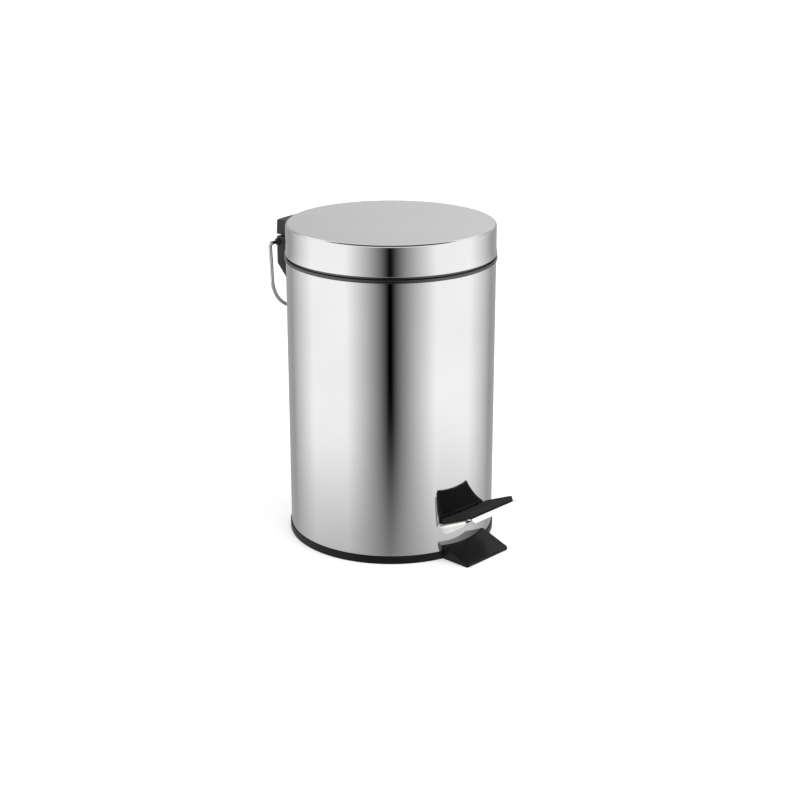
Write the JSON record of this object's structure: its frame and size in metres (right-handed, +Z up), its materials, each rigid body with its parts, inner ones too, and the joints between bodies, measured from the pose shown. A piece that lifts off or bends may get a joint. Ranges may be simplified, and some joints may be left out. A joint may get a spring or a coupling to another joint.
{
  "type": "pedal bin",
  "caption": "Round steel pedal bin with a foot lever, hinged lid, lift rod, wire carry handle and removable inner bucket.",
  "frame": {"origin": "on the bin's axis at floor level, at the middle of the base's underside", "axes": "+Z up along the bin's axis, the pedal points towards -Y, the lid's hinge is at +Y and its axis lies along X"},
  "size_m": [0.17, 0.2223, 0.2589],
  "materials": {
    "polished_steel": "polished",
    "bright_plate": "bright plated",
    "bright_wire": "bright plated wire",
    "zinc_steel": "zinc plated",
    "black_plastic": "satin moulded",
    "hinge_plastic": "fine moulded grain",
    "liner_plastic": "moulded",
    "bucket_plastic": "moulded",
    "grey_plastic": "moulded",
    "pad_rubber": "moulded, fine raised pattern",
    "soft_rubber": "soft"
  },
  "bodies": {
    "bin": {"body_shell": "polished_steel", "base": "black_plastic", "bucket_seat": "black_plastic", "top_collar": "black_plastic", "hinge_housing": "hinge_plastic", "housing_screws": "zinc_steel", "hinge_pin": "zinc_steel", "lever_pivot_pin": "zinc_steel", "pivot_caps": "grey_plastic", "pivot_cap_screws": "zinc_steel"},
    "lid": {"lid_shell": "polished_steel", "lid_liner": "liner_plastic", "lid_bumpers": "soft_rubber", "lid_hinge_block": "hinge_plastic", "lid_screws": "zinc_steel", "lift_pin": "zinc_steel"},
    "lift_rod": {"lift_rod": "zinc_steel", "rod_stops": "zinc_steel"},
    "pedal": {"pedal_lever": "zinc_steel", "pedal_plate": "bright_plate", "pedal_pad": "pad_rubber", "pedal_rivets": "zinc_steel"},
    "carry_handle": {"carry_handle": "bright_wire"},
    "bucket": {"bucket": "bucket_plastic"},
    "bucket_handle": {"bucket_handle": "bright_wire", "bucket_grip": "black_plastic"}
  },
  "joints": [
    {"name": "lid_open", "type": "hinge", "parent": "bin", "child": "lid", "pos_m": [0, 0.101, 0.2314], "axis": [-1, 0, 0], "range_deg": [0, 75]},
    {"name": "pedal_press", "type": "hinge", "parent": "bin", "child": "pedal", "pos_m": [0, -0.064, 0.0204], "axis": [1, 0, 0], "range_deg": [0, 11.9]},
    {"name": "rod_swing", "type": "hinge", "parent": "lid", "child": "lift_rod", "pos_m": [0, 0.0813, 0.21628], "axis": [1, 0, 0], "range_deg": [0, 75]},
    {"name": "carry_handle_swing", "type": "hinge", "parent": "bin", "child": "carry_handle", "pos_m": [0, 0.101, 0.2314], "axis": [1, 0, 0], "range_deg": [-12, 130]},
    {"name": "bucket_lift", "type": "slide", "parent": "bin", "child": "bucket", "axis": [0, 0, 1], "range_m": [0, 0.015]},
    {"name": "bucket_handle_swing", "type": "hinge", "parent": "bucket", "child": "bucket_handle", "pos_m": [0, 0, 0.213], "axis": [-1, 0, 0], "range_deg": [0, 26]}
  ],
  "couplings": [
    {"joint": "pedal_press", "follows": "lid_open", "ratio": 0.15867},
    {"joint": "rod_swing", "follows": "lid_open", "ratio": 1}
  ]
}
